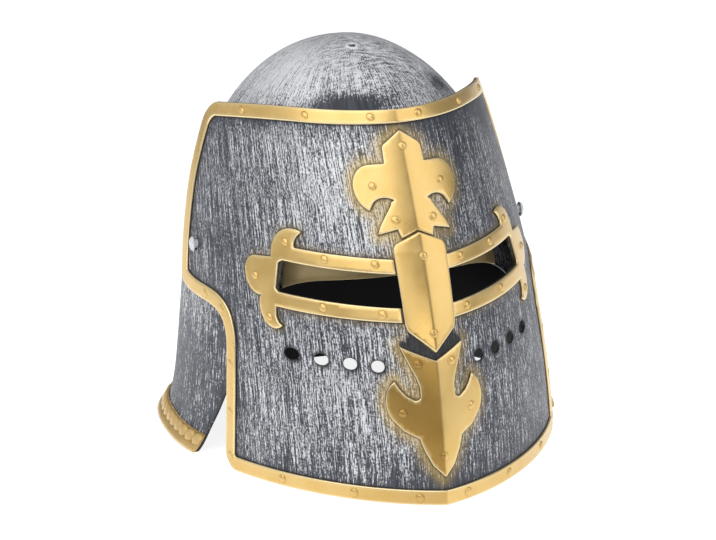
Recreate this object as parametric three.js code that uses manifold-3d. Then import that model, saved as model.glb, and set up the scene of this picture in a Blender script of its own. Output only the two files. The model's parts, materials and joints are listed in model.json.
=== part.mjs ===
// Costume knight's helmet in moulded plastic: a domed skull with a flared neck guard,
// and a keeled great-helm visor that swings up on two side studs.
// Millimetres, +Z up. The face looks along -Y, and the wearer's left is +X.
import * as THREE from 'three';
import { mergeVertices } from 'three/addons/utils/BufferGeometryUtils.js';
import Module from 'manifold-3d';

const wasm = await Module();
wasm.setup();

// ---------------------------------------------------------------- driving sizes
const WALL = 1.6;              // moulded wall of the skull and the visor
const GAP = 0.3;               // air between a trim and the shell that it lies on
const TRIM_TOP = 1.5;          // outer face of a flat trim above its shell
const VISOR_HEIGHT = 216;      // bottom edge to top edge, at the keel
const BORDER_WIDTH = 9;        // flat gold band around the visor's edge
const RIVET_RADIUS = 2.5;
const RIVET_RISE = 1.1;
const SKULL_HEIGHT = 243;      // table to crown
const SPRING_LINE = 105;       // height where the dome starts above the straight sides
const SKULL_HALF_WIDTH = 95.5; // of the dome at the spring line, before the flare
const SKULL_MID_Y = 200;       // dome's centre behind the visor's keel
const SKULL_FRONT = 115;       // from there to the brow
const SKULL_BACK = 111;
const FLARE_START = 170;       // height where the sides begin to lean out
const GUARD_FLARE = 18.5;       // extra half width at the neck guard's foot
const LIP_FLARE = 8;           // and what its lip adds, mostly in the last 20 mm
const TAIL_FLARE = 15.5;       // extra reach of the neck guard to the rear
const GUARD_TRIM_HEIGHT = 11;
const GUARD_TRIM_RISE = 3.4;
const PIVOT = { y: 172, z: 126, hole: 3.2, shank: 2.7, head: 4.6 };
const BREATH_HOLE_RADIUS = 3.5;
const PLUME_HOLE = { y: 167, radius: 2 };
const ORIGIN_Y = 163.9;        // middle of the whole depth, which becomes y = 0

const DEG = Math.PI / 180;
const GOLD = { color: 0xd9b656, roughness: 0.42, metalness: 0.55 };
const SILVER = { color: 0x8d9299, roughness: 0.45, metalness: 0.4 };
const STUD = { color: 0xb9bcbf, roughness: 0.4, metalness: 0.3 };

// ---------------------------------------------------------------- solids

// A closed body from points and triangles, turned so that its faces point out.
function body(points, triangles) {
  const a = new THREE.Vector3();
  let volume = 0;
  for (const [i, j, k] of triangles) {
    volume += a.crossVectors(points[i], points[j]).dot(points[k]);
  }
  const ordered = volume > 0 ? triangles : triangles.map(([i, j, k]) => [i, k, j]);
  return new wasm.Manifold(new wasm.Mesh({
    numProp: 3,
    vertProperties: new Float32Array(points.flatMap((p) => [p.x, p.y, p.z])),
    triVerts: new Uint32Array(ordered.flat()),
  }));
}

// The solid between two grids of points: at(u, v, h) for u, v in 0..1, from h0 to h1.
function slab(us, vs, at, h0, h1) {
  const points = [];
  const triangles = [];
  const columns = us.length;
  const rows = vs.length;
  for (const h of [h0, h1]) {
    for (const v of vs) {
      for (const u of us) points.push(at(u, v, h));
    }
  }
  const id = (layer, j, i) => (layer * rows + j) * columns + i;
  const quad = (a, b, c, d) => triangles.push([a, b, c], [a, c, d]);
  for (let j = 0; j < rows - 1; j++) {
    for (let i = 0; i < columns - 1; i++) {
      quad(id(1, j, i), id(1, j, i + 1), id(1, j + 1, i + 1), id(1, j + 1, i));
      quad(id(0, j, i), id(0, j + 1, i), id(0, j + 1, i + 1), id(0, j, i + 1));
    }
  }
  for (let i = 0; i < columns - 1; i++) {
    quad(id(0, 0, i), id(0, 0, i + 1), id(1, 0, i + 1), id(1, 0, i));
    quad(id(0, rows - 1, i + 1), id(0, rows - 1, i), id(1, rows - 1, i), id(1, rows - 1, i + 1));
  }
  for (let j = 0; j < rows - 1; j++) {
    quad(id(0, j + 1, 0), id(0, j, 0), id(1, j, 0), id(1, j + 1, 0));
    quad(id(0, j, columns - 1), id(0, j + 1, columns - 1), id(1, j + 1, columns - 1), id(1, j, columns - 1));
  }
  return body(points, triangles);
}

// An outline of [s, z] points carried through a surface, from h0 to h1 above it.
function prism(outline, at, h0, h1) {
  const flat = outline.map(([s, z]) => new THREE.Vector2(s, z));
  if (THREE.ShapeUtils.area(flat) < 0) flat.reverse();
  const lids = THREE.ShapeUtils.triangulateShape(flat, []);
  const n = flat.length;
  const points = [h0, h1].flatMap((h) => flat.map((p) => at(p.x, p.y, h)));
  const triangles = [];
  for (const [i, j, k] of lids) triangles.push([i, k, j], [n + i, n + j, n + k]);
  for (let i = 0; i < n; i++) {
    const next = (i + 1) % n;
    triangles.push([i, next, n + next], [i, n + next, n + i]);
  }
  return body(points, triangles);
}

// A closed profile carried round a loop of stations: at(i, k) is profile point k at station i.
function ring(stations, profileLength, at, closed) {
  const points = [];
  const triangles = [];
  for (let i = 0; i < stations; i++) {
    for (let k = 0; k < profileLength; k++) points.push(at(i, k));
  }
  const last = closed ? stations : stations - 1;
  for (let i = 0; i < last; i++) {
    const j = (i + 1) % stations;
    for (let k = 0; k < profileLength; k++) {
      const m = (k + 1) % profileLength;
      const [a, b] = [i * profileLength, j * profileLength];
      triangles.push([a + k, b + k, b + m], [a + k, b + m, a + m]);
    }
  }
  if (!closed) {
    const end = (stations - 1) * profileLength;
    for (let k = 1; k < profileLength - 1; k++) {
      triangles.push([0, k, k + 1], [end, end + k + 1, end + k]);
    }
  }
  return body(points, triangles);
}

// A three.js geometry as a solid, after an optional placing matrix.
function fromGeometry(geometry, matrix) {
  if (matrix) geometry.applyMatrix4(matrix);
  geometry.deleteAttribute('normal');
  geometry.deleteAttribute('uv');
  const merged = mergeVertices(geometry, 1e-4);
  return new wasm.Manifold(new wasm.Mesh({
    numProp: 3,
    vertProperties: new Float32Array(merged.attributes.position.array),
    triVerts: new Uint32Array(merged.index.array),
  }));
}

function named(name, solid, finish) {
  const { vertProperties, triVerts } = solid.getMesh();
  const geometry = new THREE.BufferGeometry();
  geometry.setAttribute('position', new THREE.BufferAttribute(vertProperties, 3));
  geometry.setIndex(new THREE.BufferAttribute(triVerts, 1));
  const mesh = new THREE.Mesh(geometry, new THREE.MeshStandardMaterial(finish));
  mesh.name = name;
  return mesh;
}

// Evenly spaced values from a to b, at most step apart, with 0 among them if it is in between.
function spaced(a, b, step) {
  if (a < 0 && b > 0) return [...spaced(a, 0, step), ...spaced(0, b, step).slice(1)];
  const n = Math.max(1, Math.ceil((b - a) / step));
  return Array.from({ length: n + 1 }, (_, i) => a + (b - a) * i / n);
}

// An outline with extra points, so that no edge is longer than step.
function refine(outline, step) {
  return outline.flatMap(([s, z], i) => {
    const [s2, z2] = outline[(i + 1) % outline.length];
    const n = Math.ceil(Math.hypot(s2 - s, z2 - z) / step);
    return Array.from({ length: n }, (_, k) => [s + (s2 - s) * k / n, z + (z2 - z) * k / n]);
  });
}

// Points on an arc, in degrees, without its first point.
function arc(cs, cz, rs, rz, from, to, n) {
  return Array.from({ length: n }, (_, i) => {
    const a = (from + (to - from) * (i + 1) / n) * DEG;
    return [cs + rs * Math.cos(a), cz + rz * Math.sin(a)];
  });
}

const mirrored = (half) => [...half, ...half.slice(1, -1).reverse().map(([s, z]) => [-s, z])];

// ---------------------------------------------------------------- visor's surface

// Each level z is half an ellipse on either side of the keel, swept back from a raked keel line.
function visorLevel(z) {
  return {
    width: 121.5 - 0.059 * z - 0.000374 * z * z,
    depth: 168.1 + 0.04 * z,
    rake: 45.7 - 0.1445 * z,
    keel: 0.011 * z + 0.001583 * z * z,
    dWidth: -0.059 - 0.000748 * z,
    dDepth: 0.04,
    dRake: -0.1445,
    dKeel: 0.011 + 0.003166 * z,
  };
}

// Along t (the turn from the keel) and up z: the point, both tangents and the outward normal.
function visorFrame(t, z) {
  const q = visorLevel(z);
  const side = Math.sign(t) || 1;
  const [s, c] = [Math.sin(Math.abs(t)), Math.cos(t)];
  const point = new THREE.Vector3(side * q.width * s, q.keel + q.depth * (1 - c) + q.rake * s, z);
  const along = new THREE.Vector3(q.width * c, side * (q.depth * s + q.rake * c), 0);
  const up = new THREE.Vector3(side * q.dWidth * s, q.dKeel + q.dDepth * (1 - c) + q.dRake * s, 1);
  const normal = new THREE.Vector3().crossVectors(along, up).normalize();
  return { point, along, up, normal };
}

// A point h outside the visor's outer face. On the keel both sides' offsets meet in a mitre.
function visorAt(t, z, h) {
  const { point, normal } = visorFrame(t, z);
  if (t === 0) {
    normal.x = 0;
    normal.divideScalar(normal.lengthSq());
  }
  return point.addScaledVector(normal, h);
}

const visorSpeed = (t, z) => visorFrame(t, z).along.length();

// The turn at which the arc measured round from the keel is s.
function turnAt(s, z) {
  const steps = 8;
  const length = Math.abs(s);
  let t = length / 140;
  for (let pass = 0; pass < 4; pass++) {
    let run = 0;
    for (let i = 0; i < steps; i++) run += visorSpeed(t * (i + 0.5) / steps, z) * t / steps;
    t += (length - run) / visorSpeed(t, z);
  }
  return Math.sign(s) * t;
}

// The same surface by arc length round from the keel, as for a template wrapped onto it.
const wrapped = (s, z, h) => visorAt(s === 0 ? 0 : turnAt(s, z), z, h);

// The rear edge's turn at each height: a lower front lobe, an S-bend, then a wing to the studs.
const REAR_EDGE = new THREE.CatmullRomCurve3([
  [57.8, 0], [57.8, 35], [57.8, 65], [58.1, 81], [59.3, 88.5], [61, 92.4], [63.3, 94.7], [66.2, 95.9],
  [70, 96.7], [73.8, 97.9], [76.6, 100], [78.2, 103.6], [78.6, 110], [78.2, 131], [75.5, 163],
  [70, 194], [64.5, 216],
].map(([t, z]) => new THREE.Vector3(t, z, 0)), false, 'centripetal');
const FOOT_CORNER = 12;
const TOP_CORNER = 13;
const REAR_TABLE = REAR_EDGE.getPoints(240);

function rearTurn(z) {
  const i = Math.max(1, REAR_TABLE.findIndex((p) => p.y >= z - 1e-9));
  const [a, b] = [REAR_TABLE[i - 1], REAR_TABLE[i]];
  return a.x + (b.x - a.x) * (z - a.y) / (b.y - a.y);
}

// The rear edge rounds off into the bottom edge and the top edge.
const TOP_DROP = 5;  // the top edge falls this much towards its rear corners
const rounding = (radius, left) => {
  const past = Math.min(1, Math.max(0, 1 - left / radius));
  return radius * (1 - Math.sqrt(1 - past * past));
};

function edgeTurn(z) {
  const cut = rounding(FOOT_CORNER, z) + rounding(TOP_CORNER, VISOR_HEIGHT - TOP_DROP - z);
  return rearTurn(z) * DEG - cut / visorSpeed(1, z);
}

const topEdge = (u) => VISOR_HEIGHT - TOP_DROP * Math.max(0, (Math.abs(u) - 0.5) / 0.5) ** 2;

// The visor by u = -1..1 from one rear edge to the other, and its height v = 0..216 at the keel.
function shellAt(u, v, h) {
  const z = v * topEdge(u) / VISOR_HEIGHT;
  return visorAt(u * edgeTurn(z), z, h);
}

const SHELL_LEVELS = [
  0, 1.2, 4.5, 12, 28, 46, 62, 75, 84, 90, 94, 96.6, 98.2, 99.2, 100.2, 101.6, 103.6, 106.6, 111,
  ...spaced(118, 207, 18), 211, 213.4, 215, VISOR_HEIGHT,
];
const SHELL_COLUMNS = 14;  // on each side of the keel

// ---------------------------------------------------------------- visor's pieces

// A flat trim: the layer between two offsets of the visor, cut to an outline.
function overlay(outline, h0, h1, reach = 30) {
  const ss = outline.map(([s]) => s);
  const zs = outline.map(([, z]) => z);
  const margin = 3;
  const columns = spaced(Math.min(...ss) - margin, Math.max(...ss) + margin, 10);
  const rows = spaced(Math.min(...zs) - margin, Math.max(...zs) + margin, 20);
  const below = 4;
  return slab(columns, rows, wrapped, h0, h1).intersect(prism(outline, wrapped, h0 - below, h1 + reach));
}

// A moulded rivet head on a trim, standing on the surface at (s, z).
function rivet(s, z, base = TRIM_TOP) {
  const { point, normal, along } = visorFrame(s === 0 ? 0 : turnAt(s, z), z);
  if (s === 0) {
    normal.setX(0).normalize();
    along.set(1, 0, 0);
  }
  const root = 0.5;
  const profile = [
    [0, -root], [RIVET_RADIUS, -root], [0.75 * RIVET_RADIUS, 0.7 * RIVET_RISE], [0, RIVET_RISE],
  ];
  const head = new THREE.LatheGeometry(profile.map(([r, h]) => new THREE.Vector2(r, h)), 6);
  const side = along.normalize();
  const basis = new THREE.Matrix4().makeBasis(side, normal, new THREE.Vector3().crossVectors(side, normal));
  const lift = s === 0 ? base + 0.2 : base;
  basis.setPosition(point.addScaledVector(normal, lift));
  return fromGeometry(head, basis);
}

const riveted = (solid, places, base) => places.reduce((all, [s, z]) => all.add(rivet(s, z, base)), solid);
const bothSides = (places) => places.flatMap(([s, z]) => (s === 0 ? [[s, z]] : [[s, z], [-s, z]]));

// Sight: a long slot on each side, a little lower and longer towards the cheek.
const SIGHT = [[10, 129.2], [91, 131.5], [99, 113.8], [10, 110.9]];
const BREATHS = [[29.9, 78.6], [43.3, 78.9], [56.8, 79.4], [70, 79.8]];  // [x, z], square to the front

function drill(x, z, radius) {
  const length = 130;
  const cylinder = new THREE.CylinderGeometry(radius, radius, length, 12);
  return fromGeometry(cylinder, new THREE.Matrix4().makeTranslation(x, length / 2 - 10, z));
}

function crossDrill(radius, y, z) {
  const cylinder = new THREE.CylinderGeometry(radius, radius, 300, 12);
  cylinder.rotateZ(Math.PI / 2);
  return fromGeometry(cylinder, new THREE.Matrix4().makeTranslation(0, y, z));
}

function visorShell() {
  const columns = spaced(-1, 1, 1 / SHELL_COLUMNS);
  let shell = slab(columns, SHELL_LEVELS, shellAt, -WALL, 0);
  for (const side of [-1, 1]) {
    const sight = refine(SIGHT.map(([s, z]) => [side * s, z]), 12);
    shell = shell.subtract(prism(sight, wrapped, -8, 8));
    for (const [x, z] of BREATHS) shell = shell.subtract(drill(side * x, z, BREATH_HOLE_RADIUS));
  }
  return shell.subtract(crossDrill(PIVOT.hole, PIVOT.y, PIVOT.z));
}

// The visor's outline as stations of turn and height, once round from the keel's foot.
function borderStations() {
  const across = spaced(0, 1, 1 / SHELL_COLUMNS);
  const foot = across.slice(0, -1).map((u) => [u * edgeTurn(0), 0]);
  const rear = SHELL_LEVELS.slice(0, -1).map((v) => {
    const z = v * topEdge(1) / VISOR_HEIGHT;
    return [edgeTurn(z), z];
  });
  const top = across.reverse().map((u) => [u * edgeTurn(topEdge(u)), topEdge(u)]);
  return mirrored([...foot, ...rear, ...top]);
}

function visorBorder() {
  const stations = borderStations();
  const n = stations.length;
  const inset = 0.3;
  const profile = [[inset, GAP], [inset, TRIM_TOP], [BORDER_WIDTH, TRIM_TOP], [BORDER_WIDTH, GAP]];
  const corners = stations.map(([t, z]) => visorAt(t, z, 0));
  const place = (i, k) => {
    const [t, z] = stations[i];
    const { along, up, normal } = visorFrame(t, z);
    if (t === 0) normal.setX(0).normalize();
    const before = corners[i].clone().sub(corners[(i + n - 1) % n]).normalize();
    const after = corners[(i + 1) % n].clone().sub(corners[i]).normalize();
    const inBefore = new THREE.Vector3().crossVectors(normal, before).normalize();
    const inAfter = new THREE.Vector3().crossVectors(normal, after).normalize();
    const inward = inBefore.clone().add(inAfter).normalize();
    const mitre = 1 / Math.max(0.6, inward.dot(inBefore));
    inward.multiplyScalar(profile[k][0] * mitre);
    if (t === 0) return visorAt(0, z + inward.dot(up) / up.lengthSq(), profile[k][1]);
    const [aa, ab, bb] = [along.lengthSq(), along.dot(up), up.lengthSq()];
    const [pa, pb] = [along.dot(inward), up.dot(inward)];
    const det = aa * bb - ab * ab;
    return visorAt(t + (pa * bb - pb * ab) / det, z + (pb * aa - pa * ab) / det, profile[k][1]);
  };
  const band = ring(n, profile.length, place, true);
  const edge = 5;
  const rivets = bothSides([
    [14.5, VISOR_HEIGHT - edge], [55.5, VISOR_HEIGHT - edge], [111.5, VISOR_HEIGHT - edge - 1.7],
    [15, edge], [55, edge], [103, edge], [154, 8.5], [152, 36.5], [151.5, 66],
  ]);
  return riveted(band, rivets);
}

// A sight's frame: two bars, a round rear lobe, and a hook curling forward above and below.
function eyeFrame(side) {
  const outline = [
    [15.8, 137.2], [80.2, 139.6],
    ...arc(66.5, 139.2, 14, 10.4, 5, 62, 4),
    ...arc(80.2, 131.6, 19.8, 18.3, 111, 3, 8),
    ...arc(113.5, 120.7, 11.6, 10.9, 95, -96, 10),
    ...arc(103.3, 104.2, 10.9, 11.6, 30, -128, 8),
    ...arc(88.4, 101, 12.4, 9.6, -34, 12, 3),
    [100.3, 105.2], [15.8, 103.2],
    [15.8, 111.1], [97.2, 113.7], [99, 115.4], [94.6, 130], [91, 131.5], [15.8, 129.4],
  ];
  const plate = overlay(refine(outline.map(([s, z]) => [side * s, z]), 14), GAP, TRIM_TOP, 8);
  const rivets = [
    [86.3, 142], [58.6, 135], [26.9, 134], [115.5, 120.4], [62, 108.6], [26.5, 107.4], [106.3, 98.6],
  ];
  return riveted(plate, rivets.map(([s, z]) => [side * s, z]));
}

// Upper arm: a house-shaped head over two round lobes, whose tips curl down to a flared foot.
function crossUpper() {
  const outline = mirrored([
    [0, 205], [11.6, 197], [12.2, 187.7], [19, 187.4],
    ...arc(19.8, 174.6, 13.2, 12.8, 82, -66, 8),
    ...arc(15.4, 163.2, 8.6, 6.6, 32, 128, 4),
    ...arc(14.6, 166.8, 2.3, 2.3, 165, 215, 2),
    [17.6, 158.8], [20.6, 154.6], [22.6, 150.3], [10.9, 153], [9.3, 148.2], [0, 152.4],
  ]);
  const plate = overlay(refine(outline, 12), GAP, TRIM_TOP);
  return riveted(plate, bothSides([[0, 196.5], [21, 175.8], [11.2, 158]]));
}

// Lower arm: two horns beside the mouth, round lobes with upswept tips, and a leaf-shaped foot.
function crossLower() {
  const outline = mirrored([
    [0, 82.4], [19.5, 90.2], [15.8, 81.4], [12, 73.2], [10.4, 68],
    ...arc(13.4, 63.4, 2.9, 2.9, 170, 285, 3),
    [18.4, 62.9], [21.8, 66.4], [24.7, 71],
    ...arc(20.2, 58.6, 10.8, 13.4, 54, -46, 7),
    [21.6, 42.9], [13, 38.9], [10.8, 32], [6.6, 23.5], [0, 16.7],
  ]);
  const plate = overlay(refine(outline, 12), GAP, TRIM_TOP);
  return riveted(plate, bothSides([[10, 80.8], [21.3, 53.3], [0, 29]]));
}

// Nasal: a roof-shaped bar standing proud of the keel, hollow behind like the rest of the moulding.
const NASAL_RISE = 4.2;

function nasal() {
  const shape = (inset) => mirrored([
    [0, 151 - 1.3 * inset], [13.2 - inset, 145 - inset], [15 - inset, 142.4 - inset], [15 - inset, 140],
    [14.2 - inset, 102], [13 - inset, 98.4 + inset], [0, 86.6 + 1.3 * inset],
  ]);
  const outer = overlay(refine(shape(0), 14), GAP, NASAL_RISE);
  const hollow = overlay(refine(shape(WALL), 14), -GAP, NASAL_RISE - WALL);
  return riveted(outer.subtract(hollow), [[0, 138], [0, 97]], NASAL_RISE);
}

// ---------------------------------------------------------------- skull's surface

const DOME_LEAN = 7.4;  // the crown sits this much forward of the dome's foot

// Each level is a superellipse; below the spring line the sides flare out into the neck guard.
function skullLevel(z) {
  const low = Math.max(0, (SPRING_LINE - z) / SPRING_LINE);
  const high = Math.max(0, (z - SPRING_LINE) / (SKULL_HEIGHT - SPRING_LINE));
  const dome = Math.max(0, 1 - high ** 2.1) ** 0.502;
  const flare = GUARD_FLARE * Math.max(0, 1 - z / FLARE_START) + LIP_FLARE * Math.exp(-z / 10);
  const mid = SKULL_MID_Y + 10 * low - DOME_LEAN * high * high;
  const back = SKULL_MID_Y + SKULL_BACK - DOME_LEAN * high * high + TAIL_FLARE * low ** 2.2;
  return {
    mid: mid,
    width: SKULL_HALF_WIDTH * dome + flare,
    front: (SKULL_FRONT + 16.6 * low) * dome,
    back: (back - mid) * dome,
    power: 2.35 + 0.1 * low,
  };
}

function skullOuter(a, z) {
  const q = skullLevel(z);
  const [c, s] = [Math.cos(a), Math.sin(a)];
  const bend = (v) => Math.sign(v) * Math.abs(v) ** (2 / q.power);
  return new THREE.Vector3(q.width * bend(c), q.mid + (s < 0 ? q.front : q.back) * bend(s), z);
}

// A point h outside the skull, with the angle a counted from +X through the back at +Y.
function skullAt(a, z, h) {
  const point = skullOuter(a, z);
  const step = 0.01;
  const around = skullOuter(a + step, z).sub(skullOuter(a - step, z));
  const top = Math.min(z + 0.5, SKULL_HEIGHT - 0.2);
  const up = skullOuter(a, top).sub(skullOuter(a, top - 1));
  return point.addScaledVector(new THREE.Vector3().crossVectors(around, up).normalize(), h);
}

const SKULL_LEVELS = [0, 6, 16, 30, 54, 76, 93, 105, 128, 150, 171, 190, 206, 219, 229, 236.5, 241.3];
const SKULL_TURNS = 40;
const SKULL_TURN = 360 / SKULL_TURNS;

// The skull's own wall, without its openings: an outer and an inner cup joined at the foot.
function cup() {
  const points = [];
  const triangles = [];
  const columns = SKULL_TURNS;
  const rows = SKULL_LEVELS.length;
  for (const inner of [0, 1]) {
    for (const z of SKULL_LEVELS) {
      for (let i = 0; i < columns; i++) {
        const p = skullAt(i * SKULL_TURN * DEG, z, inner ? -WALL : 0);
        if (z === 0) p.z = 0;
        points.push(p);
      }
    }
    points.push(new THREE.Vector3(0, SKULL_MID_Y - DOME_LEAN, SKULL_HEIGHT - inner * WALL * 1.15));
  }
  const layer = rows * columns + 1;
  const id = (inner, j, i) => inner * layer + j * columns + (i % columns);
  const quad = (a, b, c, d) => triangles.push([a, b, c], [a, c, d]);
  for (let i = 0; i < columns; i++) {
    for (let j = 0; j < rows - 1; j++) {
      quad(id(0, j, i), id(0, j, i + 1), id(0, j + 1, i + 1), id(0, j + 1, i));
      quad(id(1, j, i), id(1, j + 1, i), id(1, j + 1, i + 1), id(1, j, i + 1));
    }
    triangles.push([id(0, rows - 1, i), id(0, rows - 1, i + 1), layer - 1]);
    triangles.push([id(1, rows - 1, i + 1), id(1, rows - 1, i), 2 * layer - 1]);
    quad(id(1, 0, i), id(1, 0, i + 1), id(0, 0, i + 1), id(0, 0, i));
  }
  return body(points, triangles);
}

// The brow's height by y: level in front, and lower and lower towards the temples.
const browAt = (y) => 115.3 - 4.6 * Math.max(0, (y - 91.5) / 12) ** 1.8;

// Side view, as [y, z]: the face is open in front of this edge, up to the brow.
const FACE_EDGE = [
  ...[-60, 91.5, 95, 98, 101.5, 105, 109, 113].map((y) => [y, browAt(y)]), [116.5, 98.5], [120.5, 92],
  [126, 72], [132, 50], [141, 30], [149.5, 13], [152.5, 0], [152.5, -20], [-60, -20],
];
const FACE_HALF_SPAN = 150;

function faceOpening() {
  const side = (y, z, x) => new THREE.Vector3(x, y, z);
  return prism(FACE_EDGE, side, -FACE_HALF_SPAN, FACE_HALF_SPAN);
}

function skull() {
  const plume = new THREE.CylinderGeometry(PLUME_HOLE.radius, PLUME_HOLE.radius, 40, 12);
  plume.rotateX(Math.PI / 2);
  const upright = new THREE.Matrix4().makeTranslation(0, PLUME_HOLE.y, SKULL_HEIGHT - 5);
  return cup()
    .subtract(faceOpening())
    .subtract(crossDrill(PIVOT.hole, PIVOT.y, PIVOT.z))
    .subtract(fromGeometry(plume, upright));
}

// The gold band along the brow, whose lower edge is the top of the face opening.
function browBand() {
  const height = 20;
  const at = (turn, v, h) => {
    const a = turn * DEG;
    return skullAt(a, browAt(skullOuter(a, SPRING_LINE).y) + height * v, h);
  };
  return slab(spaced(-126, -54, SKULL_TURN), [0, 0.5, 1], at, GAP, TRIM_TOP);
}

// The rolled trim along the neck guard's foot, from one front corner round to the other.
function guardTrim() {
  const profile = [
    [GAP, 0], [GUARD_TRIM_RISE - 0.4, 0], [GUARD_TRIM_RISE, 1.2], [GUARD_TRIM_RISE - 0.5, 3],
    [GUARD_TRIM_RISE, 5.4], [GUARD_TRIM_RISE - 0.5, 8.2], [1.5, 10.4], [2 * GAP, GUARD_TRIM_HEIGHT],
  ];
  const turns = spaced(-36, 216, SKULL_TURN);
  const place = (i, k) => {
    const [h, z] = profile[k];
    const p = skullAt(turns[i] * DEG, z, h);
    p.z = z;
    return p;
  };
  const roll = ring(turns.length, profile.length, place, false);
  return roll.subtract(faceOpening());
}

// A snap stud: outside head, shank through both walls, and an inner flange behind the skull.
function pivotStud(side) {
  const outside = { visor: 104.8, skullInner: 91 };
  const profile = [
    [0, outside.visor + 2.2], [2.2, outside.visor + 1.9], [3.8, outside.visor + 1.1], [PIVOT.head, outside.visor],
    [PIVOT.head, outside.visor - 0.4], [PIVOT.shank, outside.visor - 0.4],
    [PIVOT.shank, outside.skullInner], [PIVOT.head, outside.skullInner], [PIVOT.head, outside.skullInner - 1.4],
    [0, outside.skullInner - 1.4],
  ].reverse();
  const stud = new THREE.LatheGeometry(profile.map(([r, x]) => new THREE.Vector2(r, x)), 12);
  stud.rotateZ(-side * Math.PI / 2);
  return fromGeometry(stud, new THREE.Matrix4().makeTranslation(0, PIVOT.y, PIVOT.z));
}

// ---------------------------------------------------------------- assembly
const helmet = new THREE.Group();
helmet.position.y = -ORIGIN_Y;

const fixed = new THREE.Group();
fixed.add(named('skull', skull(), SILVER));
fixed.add(named('brow_band', browBand(), GOLD));
fixed.add(named('neck_guard_trim', guardTrim(), GOLD));
fixed.add(named('pivot_stud_left', pivotStud(1), STUD));
fixed.add(named('pivot_stud_right', pivotStud(-1), STUD));

const visor = new THREE.Group();
visor.add(named('visor_shell', visorShell(), SILVER));
visor.add(named('visor_border', visorBorder(), GOLD));
visor.add(named('cross_upper', crossUpper(), GOLD));
visor.add(named('nasal', nasal(), GOLD));
visor.add(named('cross_lower', crossLower(), GOLD));
visor.add(named('eye_frame_left', eyeFrame(1), GOLD));
visor.add(named('eye_frame_right', eyeFrame(-1), GOLD));

helmet.add(fixed, visor);

export default helmet;
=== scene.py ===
"""Costume knight's helmet in moulded plastic: a domed skull with a flared neck guard, and a keeled
great-helm visor on two side studs, dry-brushed silver over dark grey with raised gold trims."""
import bpy
import json
import math
import numpy as np
from mathutils import Matrix, Vector
from mathutils.geometry import delaunay_2d_cdt


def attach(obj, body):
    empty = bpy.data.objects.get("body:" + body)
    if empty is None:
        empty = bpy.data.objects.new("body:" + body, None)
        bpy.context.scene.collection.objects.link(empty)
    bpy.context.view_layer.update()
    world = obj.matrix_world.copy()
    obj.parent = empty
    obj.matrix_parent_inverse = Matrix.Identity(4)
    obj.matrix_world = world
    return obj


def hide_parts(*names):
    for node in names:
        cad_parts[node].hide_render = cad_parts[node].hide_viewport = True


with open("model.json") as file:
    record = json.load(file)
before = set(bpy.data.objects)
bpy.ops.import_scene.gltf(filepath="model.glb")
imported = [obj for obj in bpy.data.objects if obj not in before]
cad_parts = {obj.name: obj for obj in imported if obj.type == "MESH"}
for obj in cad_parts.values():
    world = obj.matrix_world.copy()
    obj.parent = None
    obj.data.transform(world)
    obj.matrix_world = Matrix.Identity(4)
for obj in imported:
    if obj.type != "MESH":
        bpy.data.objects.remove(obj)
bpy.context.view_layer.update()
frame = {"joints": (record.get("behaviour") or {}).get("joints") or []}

# ---------------------------------------------------------------- studio
# A wide pale floor and five soft diffusers: a large one on the wearer's right with another behind
# it, a narrower one on the left, a small one overhead and a dim one low in front.


def to_linear(hex_colour):
    """sRGB hex to linear RGBA: each channel c is c / 12.92 when dark, else ((c + 0.055) / 1.055) ** 2.4."""
    channels = [int(hex_colour[i:i + 2], 16) / 255 for i in (1, 3, 5)]
    return [c / 12.92 if c <= 0.04045 else ((c + 0.055) / 1.055) ** 2.4 for c in channels] + [1.0]


def add(tree, kind, inputs=None, take=None, **settings):
    """Adds a node with its settings. An input given as another node's output is linked, a number
    or colour is set on the socket. Returns the node, or its output called take."""
    made = tree.nodes.new(kind)
    for key, value in settings.items():
        setattr(made, key, value)
    for key, value in (inputs or {}).items():
        socket = made.inputs[key]
        if isinstance(value, bpy.types.NodeSocket):
            tree.links.new(value, socket)
        elif isinstance(value, str):
            socket.default_value = to_linear(value)
        else:
            socket.default_value = value
    return made if take is None else made.outputs[take]


def new_material(name):
    """An empty node material, its tree and its output node."""
    made = bpy.data.materials.new(name)
    made.use_nodes = True
    made.node_tree.nodes.clear()
    return made, made.node_tree, add(made.node_tree, "ShaderNodeOutputMaterial")


# Floor: matt white paper on a light table, whose glow fades out in front of the helmet.
paper, tree, out = new_material("floor_matt_white_paper")
grain = add(tree, "ShaderNodeTexNoise", {"Scale": 40.0, "Detail": 2.0}, take="Fac")
tint = add(tree, "ShaderNodeMix", {"Factor": grain, "A": "#b4b5b8", "B": "#bcbdbf"}, take="Result", data_type="RGBA")
on_floor = add(tree, "ShaderNodeTexCoord", take="Object")
to_the_back = add(tree, "ShaderNodeSeparateXYZ", {0: on_floor}, take="Y")
glow = add(tree, "ShaderNodeMapRange", {"Value": to_the_back, "From Min": -0.9, "From Max": -0.25, "To Min": 0.15,
                                        "To Max": 0.88}, take="Result", interpolation_type="SMOOTHSTEP")
finish = add(tree, "ShaderNodeBsdfPrincipled", {
    "Base Color": tint, "Roughness": 0.9, "Specular IOR Level": 0.1, "Emission Color": "#ffffff",
    "Emission Strength": glow}, take="BSDF")
tree.links.new(finish, out.inputs["Surface"])
FLOOR_HALF = 25.0
sweep = bpy.data.meshes.new("floor")
corner = [(-1, -1), (1, -1), (1, 1), (-1, 1)]
sweep.from_pydata([(FLOOR_HALF * x, FLOOR_HALF * y, -0.0002) for x, y in corner], [], [(0, 1, 2, 3)])
sweep.materials.append(paper)
floor = bpy.data.objects.new("floor", sweep)
bpy.context.scene.collection.objects.link(floor)

world = bpy.data.worlds.new("studio")
bpy.context.scene.world = world
world.use_nodes = True
world.node_tree.nodes["Background"].inputs["Color"].default_value = to_linear("#f2f4f7")
world.node_tree.nodes["Background"].inputs["Strength"].default_value = 0.26


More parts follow.
